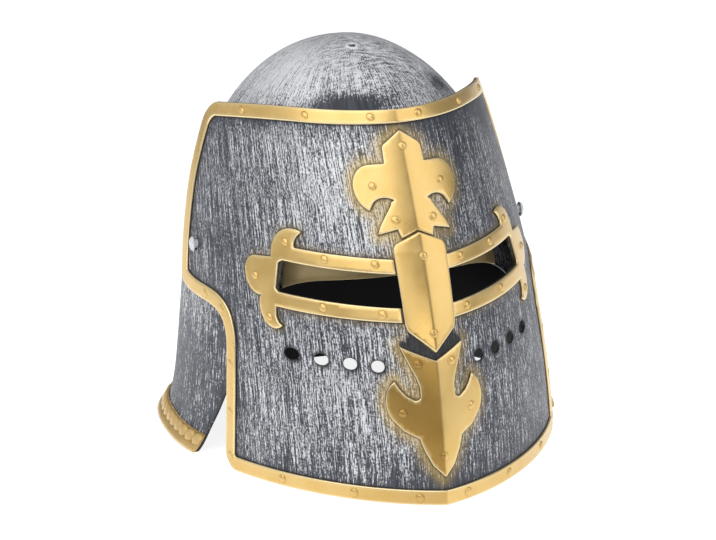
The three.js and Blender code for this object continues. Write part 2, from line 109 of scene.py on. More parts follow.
def diffuser(name, azimuth, elevation, distance, width, height, watts):
    """A rectangular soft light, in metres, that looks at the helmet from an azimuth (0 in front,
    positive to the wearer's left) and an elevation in degrees."""
    lamp = bpy.data.lights.new(name, "AREA")
    lamp.shape = "RECTANGLE"
    lamp.size, lamp.size_y, lamp.energy = width, height, watts
    a, e = math.radians(azimuth), math.radians(elevation)
    back = Vector((math.sin(a) * math.cos(e), -math.cos(a) * math.cos(e), math.sin(e)))
    right = Vector((math.cos(a), math.sin(a), 0))
    place = Matrix((right, back.cross(right), back)).transposed().to_4x4()
    place.translation = Vector((0, 0, 0.12)) + back * distance
    holder = bpy.data.objects.new(name, lamp)
    holder.matrix_world = place
    bpy.context.scene.collection.objects.link(holder)


diffuser("diffuser_right_of_wearer", -62, 42, 1.8, 2.1, 1.9, 20.5)
diffuser("diffuser_behind_right", -120, 34, 1.8, 1.7, 1.9, 4.5)
diffuser("diffuser_left_of_wearer", 56, 32, 1.8, 1.3, 1.9, 11)
diffuser("diffuser_overhead", -20, 82, 1.5, 1.2, 1.2, 5)
diffuser("diffuser_in_front", -14, 15, 2.2, 1.2, 0.4, 5)

# Camera: a long lens a metre and a half away, to the wearer's right and a little above, rolled by
# not quite three degrees.
CAMERA = {"azimuth": -14.285, "elevation": 14.259, "roll": -2.775, "distance": 1.44, "lens": 131.37}
CAMERA_TARGET = Vector((-0.0456, -0.1639, 0.14325))
a, e, r = (math.radians(CAMERA[key]) for key in ("azimuth", "elevation", "roll"))
back = Vector((math.sin(a) * math.cos(e), -math.cos(a) * math.cos(e), math.sin(e)))
right = Vector((math.cos(a), math.sin(a), 0))
up = back.cross(right)
level = Matrix((right * math.cos(r) + up * math.sin(r), up * math.cos(r) - right * math.sin(r), back))
view = bpy.data.cameras.new("camera")
view.lens = CAMERA["lens"]
view.sensor_width = 36
view.clip_end = 100
camera = bpy.data.objects.new("camera", view)
camera.matrix_world = level.transposed().to_4x4()
camera.matrix_world.translation = CAMERA_TARGET + back * CAMERA["distance"]
bpy.context.scene.collection.objects.link(camera)
bpy.context.scene.camera = camera
bpy.context.scene.view_settings.view_transform = "Standard"

# ---------------------------------------------------------------- skull
# One moulding with a 1.6 mm wall: a round dome that runs down into a flared neck guard, open
# below and in front of the face. Dark grey plastic, dry-brushed with silver along its height.
WALL = 1.6
GAP = 0.3                     # air between a trim and the shell that it lies on
TRIM_TOP = 1.5                # outer face of a flat trim above its shell
SKULL_HEIGHT = 243.0
SPRING_LINE = 105.0
SHIFT = np.array([0.0, -163.9, 0.0])   # from the visor's keel foot to the middle of the depth
# The visor turns about the frame's own pivot. Sizes here are in mm, and y counts from the keel's foot.
pivot = next(joint for joint in frame["joints"] if joint["name"] == "visor_pivot")["pos_m"]
STUD = {"y": 1000 * pivot[1] - SHIFT[1], "z": 1000 * pivot[2], "hole": 3.2}


def skull_level(z):
    """At each height: the middle in y, half width, depth to the front, depth to the back, and the
    superellipse's power. The dome is (1 - high ** 2.1) ** 0.502, high going from 0 at the spring
    line to 1 at the crown. Below, the sides flare evenly and the lip flares in the last 20 mm."""
    low = np.maximum(0, (SPRING_LINE - z) / SPRING_LINE)
    high = np.clip((z - SPRING_LINE) / (SKULL_HEIGHT - SPRING_LINE), 0, 1)
    dome = np.maximum(0, 1 - high ** 2.1) ** 0.502
    flare = 18.5 * np.maximum(0, 1 - z / 170) + 8 * np.exp(-z / 10)
    lean = 7.4 * high ** 2
    mid = 200 + 10 * low - lean
    back_reach = 311 - lean + 15.5 * low ** 2.2
    half = 95.5 * dome + flare * np.sqrt(dome)
    return mid, half, (115 + 16.6 * low) * dome, (back_reach - mid) * dome, 2.35 + 0.1 * low


def skull_point(angle, z):
    """The superellipse's point at an angle counted from the wearer's left round the back."""
    mid, half, front, rear, power = skull_level(z)
    c, s = np.cos(angle), np.sin(angle)
    x = half * np.sign(c) * np.abs(c) ** (2 / power)
    y = mid + np.where(s < 0, front, rear) * np.sign(s) * np.abs(s) ** (2 / power)
    return np.stack([x, y, z + 0 * x], -1)


# The skull is laid out flat about its crown: distance from the middle is the length down the side.
DOWN_HEIGHT = SKULL_HEIGHT * (1 - np.linspace(0, 1, 3000) ** 2)
down_side = np.hypot(np.diff(DOWN_HEIGHT), np.diff(skull_level(DOWN_HEIGHT)[1]))
DOWN_LENGTH = np.concatenate([[0], np.cumsum(down_side)])


def laid(angle, z):
    """Angle and height to the flat layout: (length down * cos angle, length down * sin angle)."""
    length = np.interp(-z, -DOWN_HEIGHT, DOWN_LENGTH)
    return np.stack([length * np.cos(angle), length * np.sin(angle)], -1)


def skull_at(flat, h):
    """A point of the layout carried back to the skull, h outside it along the normal, which is the
    cross product of the steps that 0.2 mm along each layout axis give."""
    def put_back(p):
        length = np.minimum(np.hypot(p[:, 0], p[:, 1]), DOWN_LENGTH[-1])
        return skull_point(np.arctan2(p[:, 1], p[:, 0]), np.interp(length, DOWN_LENGTH, DOWN_HEIGHT))
    step = 0.2
    furthest = DOWN_LENGTH[-1] - 0.3
    inner = flat * np.minimum(1, furthest / np.maximum(np.hypot(flat[:, 0], flat[:, 1]), 1e-6))[:, None]
    across = put_back(inner + [step, 0]) - put_back(inner - [step, 0])
    along = put_back(inner + [0, step]) - put_back(inner - [0, step])
    normal = np.cross(across, along)
    normal /= np.linalg.norm(normal, axis=1)[:, None]
    return put_back(flat) + normal * np.reshape(h, (-1, 1))


def flowing(points, steps=24):
    """A curve through points, each stretch a cubic whose end slopes come from the square roots of
    the distances to the neighbouring points, so that it never overshoots."""
    p = np.asarray(points, float)
    p = np.concatenate([[2 * p[0] - p[1]], p, [2 * p[-1] - p[-2]]])
    p0, p1, p2, p3 = p[:-3], p[1:-2], p[2:-1], p[3:]
    d0, d1, d2 = (np.linalg.norm(b - a, axis=1)[:, None] ** 0.5 for a, b in ((p0, p1), (p1, p2), (p2, p3)))
    m1 = ((p1 - p0) / d0 - (p2 - p0) / (d0 + d1) + (p2 - p1) / d1) * d1
    m2 = ((p2 - p1) / d1 - (p3 - p1) / (d1 + d2) + (p3 - p2) / d2) * d1
    t = np.linspace(0, 1, steps, endpoint=False)[None, :, None]
    p1, p2, m1, m2 = (v[:, None, :] for v in (p1, p2, m1, m2))
    curve = p1 + m1 * t + (3 * (p2 - p1) - 2 * m1 - m2) * t ** 2 + (2 * (p1 - p2) + m1 + m2) * t ** 3
    return np.concatenate([curve.reshape(-1, curve.shape[-1]), p[-2:-1]])


def spread(loop, step):
    """A closed loop with extra points, so that no side is longer than step."""
    after = np.roll(loop, -1, 0)
    count = np.maximum(1, np.ceil(np.linalg.norm(after - loop, axis=1) / step)).astype(int)
    start = np.repeat(np.arange(len(loop)), count)
    part = (np.arange(count.sum()) - np.repeat(np.cumsum(count) - count, count)) / count[start]
    return loop[start] + (after - loop)[start] * part[:, None]


def sides(loops):
    """All sides of closed loops, as their start points and end points."""
    return np.concatenate(loops), np.concatenate([np.roll(loop, -1, 0) for loop in loops])


def inside(points, loops):
    """Whether a ray to the right of each point crosses the loops an odd number of times."""
    start, end = sides(loops)
    odd = []
    for part in np.array_split(points, len(points) // 3000 + 1):
        x, y = part[:, :1], part[:, 1:]
        spans = (start[:, 1] > y) != (end[:, 1] > y)
        rise = np.where(end[:, 1] == start[:, 1], 1, end[:, 1] - start[:, 1])
        crossing = start[:, 0] + (y - start[:, 1]) * (end[:, 0] - start[:, 0]) / rise
        odd.append((spans & (x < crossing)).sum(1) % 2 == 1)
    return np.concatenate(odd)


def clearance(points, loops):
    """Each point's distance from the nearest side of the loops."""
    start, end = sides(loops)
    run = end - start
    square = np.maximum((run ** 2).sum(1), 1e-12)
    nearest = []
    for part in np.array_split(points, len(points) // 2000 + 1):
        off = part[:, None, :] - start
        t = np.clip((off * run).sum(2) / square, 0, 1)
        nearest.append(np.sqrt(((off - t[:, :, None] * run) ** 2).sum(2).min(1)))
    return np.concatenate(nearest)


def beside(loop, distance):
    """The loop moved sideways to its left by a distance, and to its right when that is negative."""
    run = np.roll(loop, -1, 0) - np.roll(loop, 1, 0)
    run = run / np.maximum(np.linalg.norm(run, axis=1), 1e-9)[:, None]
    return loop + distance * np.stack([-run[:, 1], run[:, 0]], 1)


def net(loops, field, rows=(), extra=None):
    """Triangles that fill the area inside closed loops. Their corners are the loops' own points,
    rows of points at given distances inside the loops, the field points that are far enough from
    the rim, and any extra points."""
    widest = max(rows, default=0)
    inner = [np.empty((0, 2))]
    for distance in rows:
        beside_rim = np.concatenate([beside(loop, side * distance) for loop in loops for side in (1, -1)])
        inner.append(beside_rim[clearance(beside_rim, loops) > 0.9 * distance])
    gap = np.median(np.linalg.norm(np.diff(loops[0], axis=0), axis=1))
    field = field[clearance(field, loops) > widest + 0.7 * gap]
    inner.append(field)
    if extra is not None:
        inner.append(extra[clearance(extra, loops) > 0.25])
    inner = np.concatenate(inner)
    inner = inner[inside(inner, loops)]
    first = np.cumsum([0] + [len(loop) for loop in loops])
    numbers = [np.arange(a, b) for a, b in zip(first[:-1], first[1:])]
    edges = np.concatenate([np.stack([number, np.roll(number, -1)], 1) for number in numbers]).tolist()
    corners = [Vector(p) for p in np.concatenate(loops + [inner]).tolist()]
    points, _, faces, _, _, _ = delaunay_2d_cdt(corners, edges, [], 0, 1e-4)
    points, faces = np.array([tuple(p) for p in points]), np.array([tuple(f) for f in faces])
    faces = faces[inside(points[faces].mean(1), loops)]
    u, v = points[faces[:, 1]] - points[faces[:, 0]], points[faces[:, 2]] - points[faces[:, 0]]
    turned = u[:, 0] * v[:, 1] - u[:, 1] * v[:, 0] < 0
    faces[turned] = faces[turned][:, ::-1]
    return points, faces


def body_of_net(faces, count):
    """Faces of the closed body over a net: its top, its bottom turned over and numbered after the
    top, and a wall of two triangles along each rim side, which is a side that one face has."""
    pairs = np.concatenate([faces[:, [0, 1]], faces[:, [1, 2]], faces[:, [2, 0]]])
    key = np.sort(pairs, 1)
    _, where, times = np.unique(key, axis=0, return_index=True, return_counts=True)
    a, b = pairs[where[times == 1]].T
    walls = np.concatenate([np.stack([a + count, b + count, b], 1), np.stack([a + count, b, a], 1)])
    return np.concatenate([faces, faces[:, ::-1] + count, walls]).tolist()


def piece(name, points, faces, body, stands_for, material, tags=None, lie=None, lap=0.0, sharp=48):
    """A named object from points in mm and faces, with no point below the floor. Tags are numbers
    on its points that its material reads, and lie is each point's place on the flattened surface in
    mm, kept as its UV map. Lap is the length once round a layout that closes on itself: a triangle
    across its seam has a lap added to its corners on the far side, so that the pattern isn't
    stretched over it. Edges sharper than sharp degrees aren't smoothed."""
    mesh = bpy.data.meshes.new(name)
    points = (points + SHIFT) * 0.001
    points[:, 2] = np.maximum(points[:, 2], 0)
    mesh.from_pydata(points.tolist(), [], faces)
    for tag, values in (tags or {}).items():
        mesh.attributes.new(tag, "FLOAT", "POINT").data.foreach_set("value", np.asarray(values, np.float32))
    if lie is not None:
        corners = np.empty(len(mesh.loops), np.int32)
        mesh.loops.foreach_get("vertex_index", corners)
        lie = lie[corners]
        if lap:
            round_it = lie[:, 0].reshape(-1, 3)
            torn = np.ptp(round_it, axis=1)[:, None] > lap / 2
            lie[:, 0] += (lap * (torn & (round_it < 0))).ravel()
        mesh.uv_layers.new(name="lie").data.foreach_set("uv", (lie * 0.001).astype(np.float32).ravel())
    mesh.shade_smooth()
    mesh.set_sharp_from_angle(angle=math.radians(sharp))
    mesh.materials.append(material)
    made = bpy.data.objects.new(name, mesh)
    bpy.context.scene.collection.objects.link(made)
    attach(made, body)
    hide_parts(stands_for)


# Silver finish: dark grey ABS, moulded, then dry-brushed by hand with silver paint. The brush
# leaves fine strokes along the height, thick in some places and nearly bare in others, and the
# satin paint shines a little more like metal than the plastic does.
# Its tags say how well the silver covers, in some patches as painted highlight or painted shade,
# where gold overspray lies on it, where painted shade darkens it round trims, holes, the recess and
# the skull's rim, which wall is the inner one, bare dark plastic painted darker still as painted
# shade, and where the strokes go from side to side.
silvered, tree, out = new_material("abs_moulded_dry_brushed_silver")
lie_map = add(tree, "ShaderNodeUVMap", take="UV", uv_map="lie")
tag_of = {name: add(tree, "ShaderNodeAttribute", take="Fac", attribute_name=name)
          for name in ("cover_and_shading", "halo", "shade", "inside", "crown")}
drift_cells = add(tree, "ShaderNodeVectorMath", {0: lie_map, 1: (1000 / 14, 1000 / 30, 0)}, take="Vector",
                  operation="MULTIPLY")
drift = add(tree, "ShaderNodeTexNoise", {"Vector": drift_cells, "Scale": 1.0, "Detail": 2.0, "Roughness": 0.5},
            take="Fac")
wander = add(tree, "ShaderNodeMath", {0: drift, 1: 0.0022}, take=0, operation="MULTIPLY")     # 2 mm from side to side
sideways = add(tree, "ShaderNodeCombineXYZ", {"X": wander}, take=0)
strayed = add(tree, "ShaderNodeVectorMath", {0: lie_map, 1: sideways}, take="Vector", operation="ADD")
over_crown = add(tree, "ShaderNodeTexCoord", take="Object")
# Each layer is a noise with cells of so many mm across the stroke by so many along it. One hair of
# the real brush leaves a line of 0.2 mm, too fine to show, so it is drawn 0.64 mm wide.
brush = {}
for name, laid_on, across, along, detail, rough in (
        ("long_hair", strayed, 0.64, 34, 1.0, 0.5),     # a hair drawn far
        ("short_hair", strayed, 0.64, 5, 1.0, 0.5),     # the same hair where it skips
        ("grit", lie_map, 1.1, 1.3, 1.0, 0.5),          # pits that the silver doesn't reach
        ("tuft", strayed, 2.2, 30, 2.0, 0.6),           # several hairs together
        ("load", lie_map, 26, 38, 2.0, 0.5),            # where the brush was wetter
        ("swirl", over_crown, 7, 2.2, 2.0, 0.6)):       # strokes from side to side, on the crown
    cells = add(tree, "ShaderNodeVectorMath", {0: laid_on, 1: (1000 / across, 1000 / along, 0)}, take="Vector",
                operation="MULTIPLY")
    brush[name] = add(tree, "ShaderNodeTexNoise", {"Vector": cells, "Scale": 1.0, "Detail": detail,
                                                   "Roughness": rough}, take="Fac")
# The strokes run down the height, and turn to side by side as far as the crown tag says.
down = add(tree, "ShaderNodeMath", {0: brush["short_hair"], 1: 0.88, 2: brush["long_hair"]}, take=0,
           operation="MULTIPLY_ADD")
side_on = add(tree, "ShaderNodeMath", {0: brush["swirl"], 1: 1.33, 2: 0.275}, take=0, operation="MULTIPLY_ADD")
turned_by = add(tree, "ShaderNodeMath", {0: side_on, 1: down}, take=0, operation="SUBTRACT")
hairs = add(tree, "ShaderNodeMath", {0: turned_by, 1: tag_of["crown"], 2: down}, take=0, operation="MULTIPLY_ADD")
amount = hairs
for layer, weight in ((brush["grit"], 0.67), (brush["tuft"], 0.22), (brush["load"], 0.3), (tag_of["cover_and_shading"], 0.46)):
    amount = add(tree, "ShaderNodeMath", {0: layer, 1: weight, 2: amount}, take=0, operation="MULTIPLY_ADD")
# Silver where the amount is past 1.64 to 2.04, and overspray a little thicker where it is silver.
silver, mottle, cling = (
    add(tree, "ShaderNodeMapRange", {"Value": value, "From Min": low, "From Max": high, "To Min": least,
                                     "To Max": 1.0}, take="Result", interpolation_type="SMOOTHSTEP")
    for value, low, high, least in (
        (amount, 1.64, 2.04, 0.0), (brush["tuft"], 0.35, 0.65, 0.0), (amount, 1.3, 2.0, 0.6)))
overspray = add(tree, "ShaderNodeMath", {0: tag_of["halo"], 1: cling}, take=0, operation="MULTIPLY")
colour = "#2b2e37"
# 1c1d21 is painted shade, and #08080a, darker than the bare plastic, is the inner wall painted darker as shade.
for share, over in ((mottle, "#42454f"), (silver, "#dcdde0"), (tag_of["inside"], "#08080a"), (overspray, "#cfae55"),
                    (tag_of["shade"], "#1c1d21")):
    colour = add(tree, "ShaderNodeMix", {"Factor": share, "A": colour, "B": over}, take="Result", data_type="RGBA")
relief = add(tree, "ShaderNodeBump", {"Height": hairs, "Strength": 0.35, "Distance": 0.0002}, take="Normal")
gloss = add(tree, "ShaderNodeMath", {0: silver, 1: 0.02, 2: 0.46}, take=0, operation="MULTIPLY_ADD")
outside = add(tree, "ShaderNodeMath", {0: tag_of["inside"], 1: -0.3, 2: 0.3}, take=0, operation="MULTIPLY_ADD")
metal = add(tree, "ShaderNodeMath", {0: silver, 1: outside}, take=0, operation="MULTIPLY")
sheen = add(tree, "ShaderNodeMath", {0: tag_of["inside"], 1: -0.3, 2: 0.38}, take=0, operation="MULTIPLY_ADD")
finish = add(tree, "ShaderNodeBsdfPrincipled", {
    "Base Color": colour, "Roughness": gloss, "Metallic": metal, "Normal": relief, "Specular IOR Level": sheen},
    take="BSDF")
tree.links.new(finish, out.inputs["Surface"])


def brow_at(y):
    """The brow's height by y: 115.3 in front, less 4.6 * ((y - 91.5) / 12) ** 1.8 towards the temples."""
    return 115.3 - 4.6 * (np.maximum(0, y - 91.5) / 12) ** 1.8


# The face opening's edge, seen from the side as (y, height): up the guard's front and over the brow.
FOOT_Y, CHEEK = 152.5, (120.5, 92.0)
brow_steps = np.array([113, 109, 105, 101.5, 98, 95, 91.5, 60])
FACE_EDGE = flowing([(FOOT_Y, 0), (149.5, 13), (141, 30), (132, 50), (126, 72), CHEEK, (116.5, 98.5)]
                    + np.stack([brow_steps, brow_at(brow_steps)], 1).tolist())
GUARD_EDGE = FACE_EDGE[:150]     # the part up to the brow, which rises all the way


def face_angle(z, y):
    """The skull's angle at height z where its side is at y, in front of the middle."""
    mid, _, front, _, power = skull_level(z)
    return -np.arcsin(np.clip((mid - y) / front, 0, 1) ** (power / 2))


# The skull's rim on the layout: up the guard's front, over the brow, down the other side and round
# the foot. Each brow point's height is moved halfway to the edge's height, thirty times.
rise = np.linspace(0, CHEEK[1], 70)
guard_front = laid(face_angle(rise, np.interp(rise, GUARD_EDGE[:, 1], GUARD_EDGE[:, 0])), rise)
brow_angle = np.linspace(face_angle(CHEEK[1], CHEEK[0]), -math.pi / 2, 120)[1:]
brow_height = np.full(brow_angle.shape, 108.0)
for _ in range(30):
    brow_y = skull_point(brow_angle, brow_height)[:, 1]
    brow_height += 0.5 * (np.interp(-brow_y, -FACE_EDGE[:, 0], FACE_EDGE[:, 1]) - brow_height)
brow = laid(brow_angle, brow_height)
half_rim = np.concatenate([guard_front, brow])
foot_angle = face_angle(0.0, FOOT_Y)
foot = laid(np.linspace(math.pi - foot_angle, foot_angle, 260), 0.0)[1:-1]
other_half = half_rim[:-1][::-1] * [-1, 1]
skull_rim = spread(np.concatenate([half_rim, other_half, foot]), 3.0)

circle = np.linspace(0, 2 * math.pi, 28, endpoint=False)
stud_y = STUD["y"] + STUD["hole"] * np.cos(circle)
stud_z = STUD["z"] + STUD["hole"] * np.sin(circle)
stud_hole = laid(face_angle(stud_z, stud_y), stud_z)
# The plume hole is drilled straight down: where its wall meets the dome is found by halving.
PLUME = {"y": 167.0, "radius": 2.0}
plume_x, plume_y = PLUME["radius"] * np.cos(circle), PLUME["y"] + PLUME["radius"] * np.sin(circle)
low_z, high_z = np.full(circle.shape, 200.0), np.full(circle.shape, SKULL_HEIGHT)
for _ in range(40):
    middle_z = (low_z + high_z) / 2
    mid, half, front, _, power = skull_level(middle_z)
    out_of = (np.abs(plume_x) / half) ** power + ((mid - plume_y) / front) ** power > 1
    high_z, low_z = np.where(out_of, middle_z, high_z), np.where(out_of, low_z, middle_z)
plume_q = (mid - plume_y) / front
plume_angle = -np.arctan2(plume_q ** (power / 2), np.sign(plume_x) * (np.abs(plume_x) / half) ** (power / 2))
plume_hole = laid(plume_angle, low_z)

# The net's field is rings of points round the crown, about 3 mm apart, and closer round the hole.
lengths = np.arange(3.0, DOWN_LENGTH[-1], 3.2)
around = [np.linspace(0, 2 * math.pi, n, endpoint=False) + 0.5 * i for i, n in enumerate(
    (8 + 2 * math.pi * np.interp(lengths, DOWN_LENGTH, skull_level(DOWN_HEIGHT)[1]) / 3.6).astype(int))]
skull_field = np.concatenate([np.stack([r * np.cos(t), r * np.sin(t)], 1) for r, t in zip(lengths, around)]
                             + [np.zeros((1, 2))])
plume_rings = np.concatenate([plume_hole.mean(0) + (plume_hole - plume_hole.mean(0)) * k
                              for k in (1.15, 1.35, 1.6, 1.9, 2.3, 3.0)])
skull_loops = [skull_rim, stud_hole, stud_hole * [-1, 1], plume_hole]
flat, faces = net(skull_loops, skull_field, extra=plume_rings)
bare = skull_at(flat, 0)
plume_away = np.hypot(bare[:, 0], bare[:, 1] - PLUME["y"]) + 100 * (bare[:, 2] < 200)
rim_of_plume = 0.8 * np.exp(-((plume_away - 3.2) / 0.9) ** 2)
outer, inner = skull_at(flat, rim_of_plume), skull_at(flat, -WALL)
foot_row = np.abs(bare[:, 2]) < 1e-3
inner[foot_row, 2] = 0
points = np.concatenate([outer, inner])
edge_away = clearance(flat, [skull_rim])
turn = np.arctan2(-flat[:, 0], -flat[:, 1])        # 0 over the face, so that the layout parts at the back
length = np.hypot(flat[:, 0], flat[:, 1])


def blob(p, centre, size):
    """A round patch that fades out as a bell curve, with its own size along each axis."""
    return np.exp(-(((p - np.array(centre)) / np.array(size)) ** 2).sum(1))


# How thickly the silver covers: well on the crown, most of all on its wearer's right, which is partly
# a painted highlight where the key light falls; nearly bare just above the visor's top in front, which
# is painted shade from the gap behind the visor, and in a patch further back on the left; thin on the
# guard; and a little more on the rim of the plume hole, where the brush caught it, which is partly a
# painted highlight on the raised rim.
cover_and_shading = 0.7 + 0.35 * blob(bare, (-45, 175, 228), (35, 40, 16))
cover_and_shading -= 1.3 * blob(bare, (-14, 125, 211), (22, 12, 5)) + 0.7 * blob(bare, (48, 150, 215), (12, 12, 6))
cover_and_shading -= 0.5 * np.clip((110 - bare[:, 2]) / 40, 0, 1)
cover_and_shading -= 0.25 * np.exp(-edge_away / 6) * (bare[:, 2] < 112)
cover_and_shading += 0.7 * np.exp(-((plume_away - 3.3) / 0.7) ** 2)
crown = 0.75 * np.exp(-(np.hypot(bare[:, 0] - 6, bare[:, 1] - 160) / 34) ** 2) * (bare[:, 2] > 180)
empty = np.zeros(len(flat))
# Shade on the outer face is painted shade along the cut rim, and the inner face is painted near black as shade.
tags = {name: np.concatenate(pair) for name, pair in (      # (on the outer face, on the inner face)
    ("cover_and_shading", (cover_and_shading, cover_and_shading)), ("halo", (empty, empty)), ("shade", (0.5 * np.exp(-edge_away / 1.5), empty)),
    ("inside", (empty, empty + 1)), ("crown", (crown, crown)))}
LIE_RADIUS = 75.0      # the pattern has its true width where the skull is this far from its middle
lie = np.stack([turn * LIE_RADIUS, length], 1)
piece("skull_shell", points, body_of_net(faces, len(flat)), "helmet", "skull", silvered,
      tags, np.concatenate([lie, lie]), lap=2 * math.pi * LIE_RADIUS)

# ---------------------------------------------------------------- gold trims of the skull
# The brow band is a flat strap over the top of the face opening, and the neck guard ends in a
# rolled foot with a row of leaning gadroons. Both are moulded relief, masked and sprayed gold.


def carried(grid):
    """Faces over a grid of points, (stations, profile points): each station's profile is closed on
    itself and joined to the next one's by quads, and a many-sided face closes each end."""
    number = np.arange(grid.shape[0] * grid.shape[1]).reshape(grid.shape[:2])
    a, b = number[:-1], number[1:]
    quads = np.stack([a, b, np.roll(b, -1, 1), np.roll(a, -1, 1)], -1).reshape(-1, 4).tolist()
    return quads + [number[0].tolist(), number[-1][::-1].tolist()]


# Gold finish: gold acrylic sprayed on the moulded ABS and left satin. The flake gives a soft
# metal sheen. A pale line along the raised edges is a painted highlight, and the darker colour at the
# rivets' feet, between the gadroons and under the trims is painted shade.
# Real flake is about 0.05 mm, too fine to show, so it is drawn at 0.8 mm, and the passes of the
# spray gun leave clouds about 16 mm across.
# Its tags say where the painted highlights and painted shade are, where the gold is painted darker and
# browner, which on the visor's trims is painted shade on the wearer's right of the keel, and where it
# is so thick that less metal shines through.
gilt, tree, out = new_material("abs_moulded_sprayed_gold")
place = add(tree, "ShaderNodeTexCoord", take="Object")
gold_tags = {name: add(tree, "ShaderNodeAttribute", take="Fac", attribute_name=name)
             for name in ("edge", "painted_shade", "darker_brown", "thick")}
flake = add(tree, "ShaderNodeTexNoise", {"Vector": place, "Scale": 1250.0, "Detail": 1.0}, take="Fac")
clouds = add(tree, "ShaderNodeTexNoise", {"Vector": place, "Scale": 62.0, "Detail": 2.0}, take="Fac")
glint = add(tree, "ShaderNodeMath", {0: flake, 1: 0.16}, take=0, operation="MULTIPLY")
passes, satin = (
    add(tree, "ShaderNodeMapRange", {"Value": clouds, "From Min": 0.3, "From Max": 0.7, "To Min": least,
                                     "To Max": most}, take="Result", interpolation_type="SMOOTHSTEP")
    for least, most in ((0.0, 1.0), (0.27, 0.33)))
gold = "#d4ae62"
# fbecc0 is the painted highlight, #8a681f painted shade, and #856008 darker brown gold, on the trims painted shade.
for share, over in ((passes, "#dcb972"), (glint, "#f2dca4"), (gold_tags["darker_brown"], "#856008"),
                    (gold_tags["painted_shade"], "#8a681f"), (gold_tags["edge"], "#fbecc0")):
    gold = add(tree, "ShaderNodeMix", {"Factor": share, "A": gold, "B": over}, take="Result", data_type="RGBA")
bumps = add(tree, "ShaderNodeBump", {"Height": clouds, "Strength": 0.1, "Distance": 0.0004}, take="Normal")
metal = add(tree, "ShaderNodeMath", {0: gold_tags["thick"], 1: -0.6, 2: 0.75}, take=0, operation="MULTIPLY_ADD")
finish = add(tree, "ShaderNodeBsdfPrincipled", {
    "Base Color": gold, "Metallic": metal, "Roughness": satin, "Normal": bumps, "Coat Weight": 0.25,
    "Coat Roughness": 0.3}, take="BSDF")
tree.links.new(finish, out.inputs["Surface"])

BROW_HEIGHT = 20.0
turns = np.radians(np.linspace(-126, -54, 101))
low_edge = brow_at(skull_point(turns, SPRING_LINE)[:, 1])
soft = 0.35
section = np.array([      # (out from the skull, up from the band's lower edge)
    (GAP, 0), (TRIM_TOP - soft, 0), (TRIM_TOP - 0.1, 0.1), (TRIM_TOP, soft), (TRIM_TOP, 3), (TRIM_TOP, 10),
    (TRIM_TOP, 17), (TRIM_TOP, BROW_HEIGHT - soft), (TRIM_TOP - 0.1, BROW_HEIGHT - 0.1),
    (TRIM_TOP - soft, BROW_HEIGHT), (GAP, BROW_HEIGHT), (GAP, 10)])
strap_z = low_edge[:, None] + section[:, 1]
strap_flat = laid(np.broadcast_to(turns[:, None], strap_z.shape).ravel(), strap_z.ravel())
strap = skull_at(strap_flat, np.tile(section[:, 0], len(turns)))
# The whole strap carries some of the pale highlight colour: painted light where it lies in shadow behind the visor.
piece("brow_strap", strap, carried(strap.reshape(len(turns), -1, 3)), "helmet", "brow_band", gilt,
      {"edge": np.full(len(strap), 0.3), "thick": np.ones(len(strap))})

# The roll's outside is a low lip with a row of domes over it: an ellipse in height for the lip,
# round 1.3 mm, and an ellipse in height and length for each gadroon, round 6.4 mm.
GADROON_PITCH = 11.2
outer_rows = np.array([0, 0.15, 0.4, 0.8, 1.2, 1.6, 2.1, 2.6, 3.0, 3.4, 3.8, 4.3, 4.9, 5.5, 6.1, 6.7, 7.3, 7.9, 8.5,
                       9.0, 9.4, 9.8, 10.2, 10.6, 11.0])
roll_z = np.concatenate([outer_rows, outer_rows[::-1]])
is_back = np.arange(len(roll_z)) >= len(outer_rows)
start_angle = face_angle(roll_z, np.interp(roll_z, GUARD_EDGE[:, 1], GUARD_EDGE[:, 0]))
way_round = np.linspace(0, 1, 1000)[:, None]
roll_angle = start_angle + (math.pi - 2 * start_angle) * way_round
roll_steps = np.diff(skull_point(roll_angle[:, 0], 8.0), axis=0)
roll_run = np.concatenate([[0], np.cumsum(np.linalg.norm(roll_steps, axis=1))])
along = roll_run[:, None] + 0 * roll_z
lean = along + 0.15 * (roll_z - 6.6) * np.sign(along - roll_run[-1] / 2)
across = (lean % GADROON_PITCH) / GADROON_PITCH * 2 - 1
lobe = np.sqrt(np.clip(1 - (across * 0.95) ** 2 - ((roll_z - 6.4) / 4.1) ** 2, 0, 1))
lip = np.sqrt(np.clip(1 - ((roll_z - 1.3) / 2.6) ** 2, 0, 1))
bulge = np.maximum(0.8 + 2.1 * lobe, 0.8 + 2.2 * lip)
bulge = np.where(roll_z <= 0, 2.2, bulge)
roll_flat = laid(roll_angle.ravel(), np.broadcast_to(roll_z, roll_angle.shape).ravel())
roll = skull_at(roll_flat, np.where(is_back, GAP, bulge).ravel()).reshape(roll_angle.shape + (3,))
roll[:, roll_z == 0, 2] = 0
# Painted highlight on the gadroons' crests, and painted shade between them and over the roll's back face. The whole
# roll is also painted darker and browner.
crest = np.where(is_back, 0, np.clip(lobe * 1.4 - 0.8, 0, 1)) * 0.1
valley = np.where(is_back, 0.3, np.clip(1 - lobe * 1.8, 0, 1) * np.clip((roll_z - 3.2) / 1, 0, 1)) * 0.9
piece("neck_guard_roll", roll.reshape(-1, 3), carried(roll), "helmet", "neck_guard_trim", gilt,
      {"edge": crest.ravel(), "painted_shade": valley.ravel(), "darker_brown": np.full(roll[..., 0].size, 0.25),
       "thick": np.full(roll[..., 0].size, 0.8)})

